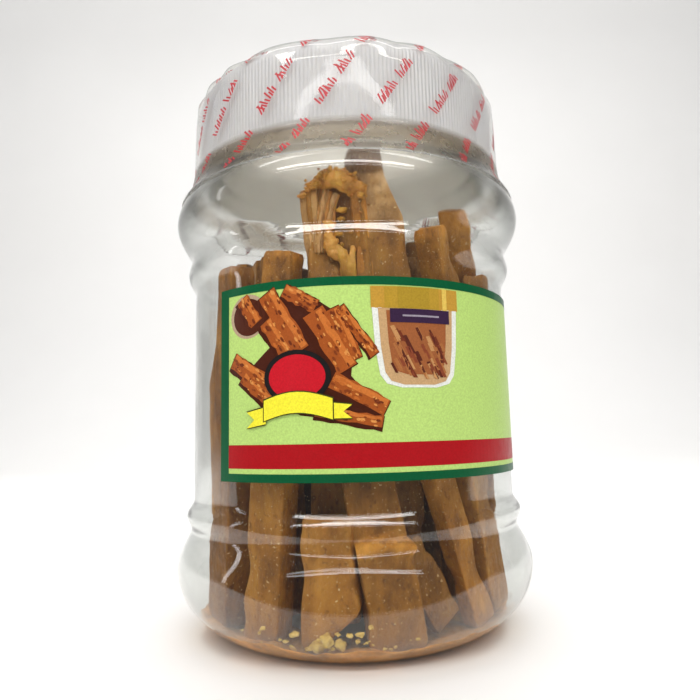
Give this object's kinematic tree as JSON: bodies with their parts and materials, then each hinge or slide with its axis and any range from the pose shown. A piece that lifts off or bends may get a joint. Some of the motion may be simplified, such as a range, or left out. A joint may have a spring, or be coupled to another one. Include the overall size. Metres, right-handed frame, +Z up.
{
  "type": "jar of nougat sticks",
  "caption": "Shut clear plastic grip jar of upright nougat sticks, with a ribbed white screw lid, a clear shrink seal over the lid and a printed wrap label.",
  "frame": {"origin": "centre of the jar's base, on the plane it stands on", "axes": "+Z up along the jar's axis; the side that the picture shows faces -Y and +X is to its right"},
  "size_m": [0.094, 0.094, 0.1404],
  "materials": {
    "clear_plastic": "clear and glossy",
    "white_plastic": "satin white",
    "clear_film": "clear and glossy, with red marks",
    "printed_label": "glossy printed",
    "nougat": "dull, sugary food surface"
  },
  "bodies": {
    "root": {"jar": "clear_plastic", "lid": "white_plastic", "shrink_seal": "clear_film", "label": "printed_label", "nougat_sticks": "nougat"}
  },
  "joints": []
}
